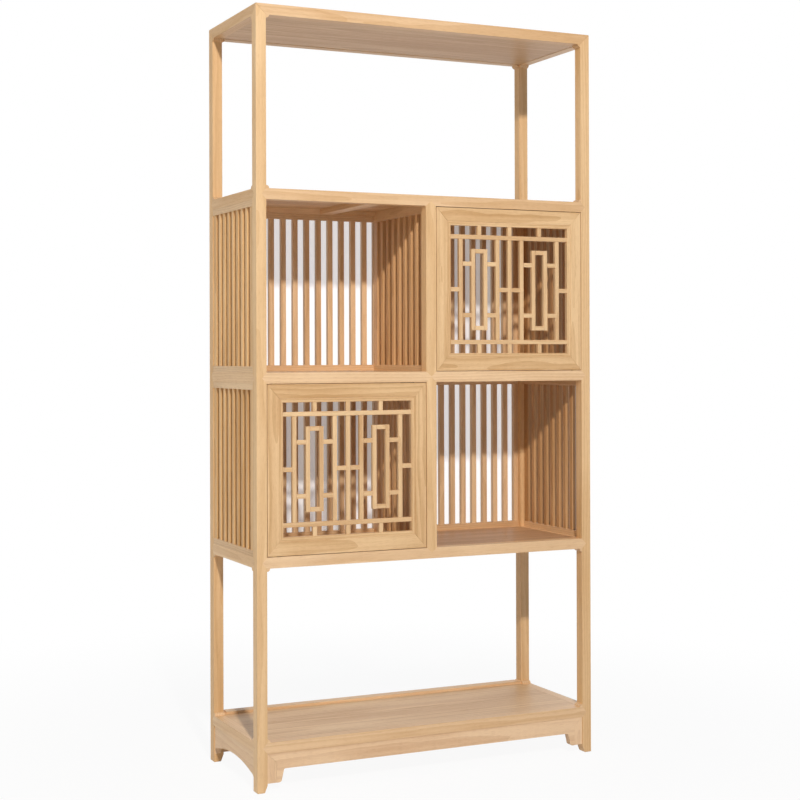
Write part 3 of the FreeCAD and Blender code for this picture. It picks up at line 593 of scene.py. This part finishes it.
def worn_metal(name, bright, dull, roughness, metallic=1.0):
    """Drawn or turned metal with faint marks and patches of tarnish."""
    material, shader, wire = new_material(name)
    place = wire.node("TexCoord", output="Object")
    patch = wire.node("TexNoise", Vector=place, Scale=TARNISH_PATCHES, Detail=3.0, Roughness=0.6)
    line = wire.node("VectorMath", {"operation": "MULTIPLY"}, in0=place, in1=DRAWN_MARKS)
    marks = wire.node("TexNoise", Vector=line, Scale=1.0, Detail=1.0, Roughness=0.5)
    colour = wire.node("Mix", {"data_type": "RGBA"}, output=2, Factor=patch, A=bright, B=dull)
    wire.join(colour, shader.inputs["Base Color"])
    dullness = roughness + (patch - 0.5) * PATCH_ROUGHNESS + (marks - 0.5) * DRAWN_ROUGHNESS
    wire.join(dullness, shader.inputs["Roughness"])
    relief = wire.node("Bump", Strength=METAL_RELIEF, Distance=METAL_DEPTH, Height=marks)
    wire.join(relief, shader.inputs["Normal"])
    shader.inputs["Metallic"].default_value = metallic
    return material


def finished(node, material):
    """Gives a CAD node that stays as it is its finish."""
    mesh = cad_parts[node].data
    mesh.materials.clear()
    mesh.materials.append(material)


brass = worn_metal("pivot brass", tint(214, 178, 112), tint(150, 116, 66), 0.32)
for node in ("pivot_bushes", "upper_door_pivot_pins", "lower_door_pivot_pins"):
    finished(node, brass)


# Catches. A brown moulded magnetic catch is screwed behind the rail above each door, and its
# thin steel strike plate is screwed to the back of the door with flat-headed screws.
SCREW_SPACING = 0.02
SCREW_RADIUS = 0.0023
SCREW_SLOT = 0.0006
HEAD_SIDES = 16
HEAD_TOP_SHARE = 0.75
SLOT_REACH_SHARE = 1.1
PROUD_HEAD = 0.0007
FLAT_HEAD = 0.00015
CATCH_SCREW_RISE = 0.0101
CATCH_BACK = -0.135
BACKWARD = (math.radians(-90), 0, 0)


def screw_tree():
    """Round screw heads with a cross slot."""
    screws = Grower("screw row", "Radius", "Height", "Slot")
    given = screws.given
    top, length = [
        screws.node("ShaderNodeMath", {"operation": "MULTIPLY"}, in0=given["Radius"], in1=share)
        for share in (HEAD_TOP_SHARE, SLOT_REACH_SHARE)
    ]
    head = screws.node("GeometryNodeMeshCone", Vertices=HEAD_SIDES, Radius_Bottom=given["Radius"],
                       Radius_Top=top, Depth=given["Height"])
    cut = []
    for along, across in ((length, given["Slot"]), (given["Slot"], length)):
        size = screws.node("ShaderNodeCombineXYZ", X=along, Y=across, Z=given["Height"])
        cut.append(screws.node("GeometryNodeMeshCube", Size=size))
    up = screws.node("ShaderNodeCombineXYZ", Z=given["Height"])
    cross = screws.tree.nodes.new("GeometryNodeMeshBoolean")
    cross.operation = "UNION"
    for arm in cut:
        screws.tree.links.new(arm, cross.inputs["Mesh 2"])
    placed = screws.node("GeometryNodeTransform", Geometry=cross.outputs[0], Translation=up)
    slotted = screws.node("GeometryNodeMeshBoolean", {"operation": "DIFFERENCE"}, in0=head, in1=placed)
    return screws.repeat(slotted)


SCREW_ROW = screw_tree()


def screws(name, body, centre, height):
    """A pair of screws side by side that face the back of the cabinet."""
    work = bmesh.new()
    add_row(work, SCREW_ROW, steel, Radius=SCREW_RADIUS, Height=height, Slot=SCREW_SLOT, Count=2,
            First=(centre.x - SCREW_SPACING / 2, centre.y, centre.z), Step=(SCREW_SPACING, 0, 0),
            Turn=BACKWARD)
    keep(work, name, body, "strike_steel", steel)


steel = worn_metal("strike steel", tint(196, 197, 200), tint(150, 151, 155), 0.38)
for door in ("upper_door", "lower_door"):
    finished(door + "_strike_plate", steel)
    low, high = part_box(door + "_strike_plate")
    centre = (low + high) / 2
    screws(door + "_plate_screws", door, Vector((centre.x, high.y, centre.z)), FLAT_HEAD)
    screws(door + "_catch_screws", "cabinet", Vector((centre.x, CATCH_BACK, high.z + CATCH_SCREW_RISE)),
           PROUD_HEAD)
moulded = worn_metal("catch plastic", tint(98, 66, 42), tint(84, 55, 35), 0.55, metallic=0.0)
finished("door_catches", moulded)


# Floor. A pale floor fades to plain white away from the cabinet and keeps the soft shadow round
# its feet.
def seen_directly(tree):
    """One for the camera's own rays and for what glossy wood or metal mirrors."""
    wire = Wire(tree)
    camera = wire.node("LightPath", output="Is Camera Ray")
    glossy = wire.node("LightPath", output="Is Glossy Ray")
    through = wire.node("LightPath", output="Is Transmission Ray")
    return wire.math("MAXIMUM", wire.math("MAXIMUM", camera, glossy), through)


def studio_sheet(name, corners, colour):
    """A flat sheet, the paint on it as a wire, and a wire that more of its material builds on."""
    mesh = bpy.data.meshes.new(name)
    mesh.from_pydata(corners, [], [(0, 1, 2, 3)])
    sheet = bpy.data.objects.new(name, mesh)
    bpy.context.scene.collection.objects.link(sheet)
    material, shader, wire = new_material(name + " paint")
    shader.inputs["Base Color"].default_value = colour
    shader.inputs["Roughness"].default_value = PAINT_ROUGHNESS
    shader.inputs["Specular IOR Level"].default_value = 0.0
    mesh.materials.append(material)
    return sheet, Wire(wire.tree, shader.outputs[0]), wire


def show(wire, surface):
    """Ends a material of the studio in the surface that the renderer sees."""
    wire.join(surface, wire.tree.nodes["Material Output"].inputs["Surface"])


PAINT_ROUGHNESS = 0.9
FLOOR_REACH = 30
NEAR_FLOOR = 0.7
FAR_FLOOR = 2.2
NEAR_WHITE_SHARE = 0.93
corners = [(x * FLOOR_REACH, y * FLOOR_REACH, 0) for x, y in ((-1, -1), (1, -1), (1, 1), (-1, 1))]
floor, paint, wire = studio_sheet("floor", corners, colour=(0.9, 0.9, 0.9, 1))
place = wire.node("TexCoord", output="Object")
away = wire.node("VectorMath", {"operation": "LENGTH"}, output="Value", in0=place)
fade = wire.node("MapRange", {"interpolation_type": "SMOOTHSTEP"}, Value=away,
                 From_Min=NEAR_FLOOR, From_Max=FAR_FLOOR, To_Min=NEAR_WHITE_SHARE, To_Max=1.0)
white = wire.node("Emission", Color=(1, 1, 1, 1), Strength=1.0)
show(wire, wire.node("MixShader", in0=seen_directly(wire.tree) * fade, in1=paint, in2=white))


# Wall. A white wall stands close behind the back grille and catches the shadow in its gaps. It
# ends behind the rails round the cells, so it shows through the grille only. Part of its light is
# a glow that only the camera sees, painted light for the room's light on the wall, and behind the
# two cells with doors it glows less, as painted shade, since the doors keep the room's light out.
WALL_PLACE = 0.179
WALL_SIDES = (-0.478, 0.478)
WALL_ENDS = (0.6, 1.53)
WALL_GLOW = 1.85
OPEN_CELL_SHARE = 0.3
DOOR_CELL_SHADED_SHARE = 0.13
corners = [(WALL_SIDES[x], WALL_PLACE, WALL_ENDS[z]) for x, z in ((0, 0), (1, 0), (1, 1), (0, 1))]
wall, paint, wire = studio_sheet("wall", corners, colour=(0.98, 0.98, 1.0, 1))
wall.visible_diffuse = False
wall.visible_glossy = False
wall.visible_shadow = False
place = wire.node("TexCoord", output="Object")
sideways = wire.node("SeparateXYZ", output="X", Vector=place)
upwards = wire.node("SeparateXYZ", output="Z", Vector=place)
above_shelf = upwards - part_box("middle_shelf_board")[0].z
# The wall glows less behind the door cells, as painted shade.
door_cell = wire.math("GREATER_THAN", sideways * above_shelf, 0.0)
share = OPEN_CELL_SHARE - door_cell * (OPEN_CELL_SHARE - DOOR_CELL_SHADED_SHARE)
glow = wire.node("Emission", Color=(0.93, 0.96, 1.0, 1), Strength=WALL_GLOW)
plain = wire.node("MixShader", in0=share, in1=paint, in2=glow)
see_through = wire.node("BsdfTransparent")
behind = wire.node("NewGeometry", output="Backfacing")
show(wire, wire.node("MixShader", in0=behind, in1=plain, in2=see_through))


# Surroundings. Even light comes from all round, a little cool, and the picture's background
# is plain white.
AMBIENT_COLOUR = (0.84, 0.94, 1.15, 1)
AMBIENT_STRENGTH = 0.18
world = bpy.data.worlds.new("studio")
world.use_nodes = True
bpy.context.scene.world = world
world_tree = world.node_tree
ambient = world_tree.nodes["Background"]
ambient.inputs["Color"].default_value = AMBIENT_COLOUR
ambient.inputs["Strength"].default_value = AMBIENT_STRENGTH
world_wire = Wire(world_tree)
seen_white = world_wire.node("Background", Color=(1, 1, 1, 1), Strength=1.0)
backdrop = world_wire.node("MixShader", in0=seen_directly(world_tree),
                           in1=Wire(world_tree, ambient.outputs[0]), in2=seen_white)
world_wire.join(backdrop, world_tree.nodes["World Output"].inputs["Surface"])


# Lamps. A small strong one stands in front and above to the left, and throws the sharp shadows
# into the cells. Wide soft ones stand at the left and behind at the right.
def lamp(name, place, aim, power, width, colour):
    light = bpy.data.lights.new(name, "AREA")
    light.shape = "DISK"
    light.size = width
    light.energy = power
    light.color = colour
    holder = bpy.data.objects.new(name, light)
    holder.location = place
    holder.rotation_euler = (Vector(aim) - Vector(place)).to_track_quat("-Z", "Y").to_euler()
    bpy.context.scene.collection.objects.link(holder)


lamp("key lamp", place=(-1.5, -4.95, 4.23), aim=(0, 0, 1.1), power=242, width=0.3,
     colour=(1.0, 0.945, 0.9))
lamp("back light", place=(4.2, 3.2, 1.4), aim=(0, 0, 1.0), power=34, width=2.5,
     colour=(1.0, 0.97, 0.93))
lamp("left fill", place=(-4.6, -0.2, 1.8), aim=(0, 0, 1.1), power=38, width=2.4,
     colour=(1.0, 0.89, 0.58))


# Camera. It stands where the photograph was taken from, a little left of the cabinet and a
# little above its middle, with a lens that keeps the uprights upright.
CAMERA_PLACE = Vector((-1.8724, -3.6595, 1.1101))
CAMERA_YAW = math.radians(-23.331)
CAMERA_PITCH = math.radians(0.231)
CAMERA_ROLL = math.radians(-0.144)
FOCAL_PIXELS = 1482.4
PICTURE_PIXELS = 800
CENTRE_PIXEL = (303.9, 348.3)

lens = bpy.data.cameras.new("camera")
lens.sensor_width = 36
lens.lens = FOCAL_PIXELS / PICTURE_PIXELS * lens.sensor_width
lens.shift_x = (PICTURE_PIXELS / 2 - CENTRE_PIXEL[0]) / PICTURE_PIXELS
lens.shift_y = (CENTRE_PIXEL[1] - PICTURE_PIXELS / 2) / PICTURE_PIXELS
lens.clip_end = 100
camera = bpy.data.objects.new("camera", lens)
right = Vector((math.cos(CAMERA_YAW), math.sin(CAMERA_YAW), 0))
ahead = Vector((-math.sin(CAMERA_YAW), math.cos(CAMERA_YAW), 0)) * math.cos(CAMERA_PITCH)
ahead.z = math.sin(CAMERA_PITCH)
above = right.cross(ahead)
level_right = right * math.cos(CAMERA_ROLL) + above * math.sin(CAMERA_ROLL)
level_above = above * math.cos(CAMERA_ROLL) - right * math.sin(CAMERA_ROLL)
turn = Matrix((level_right, level_above, -ahead)).transposed().to_4x4()
camera.matrix_world = Matrix.Translation(CAMERA_PLACE) @ turn
bpy.context.scene.collection.objects.link(camera)
bpy.context.scene.camera = camera
bpy.context.scene.view_settings.view_transform = "Standard"
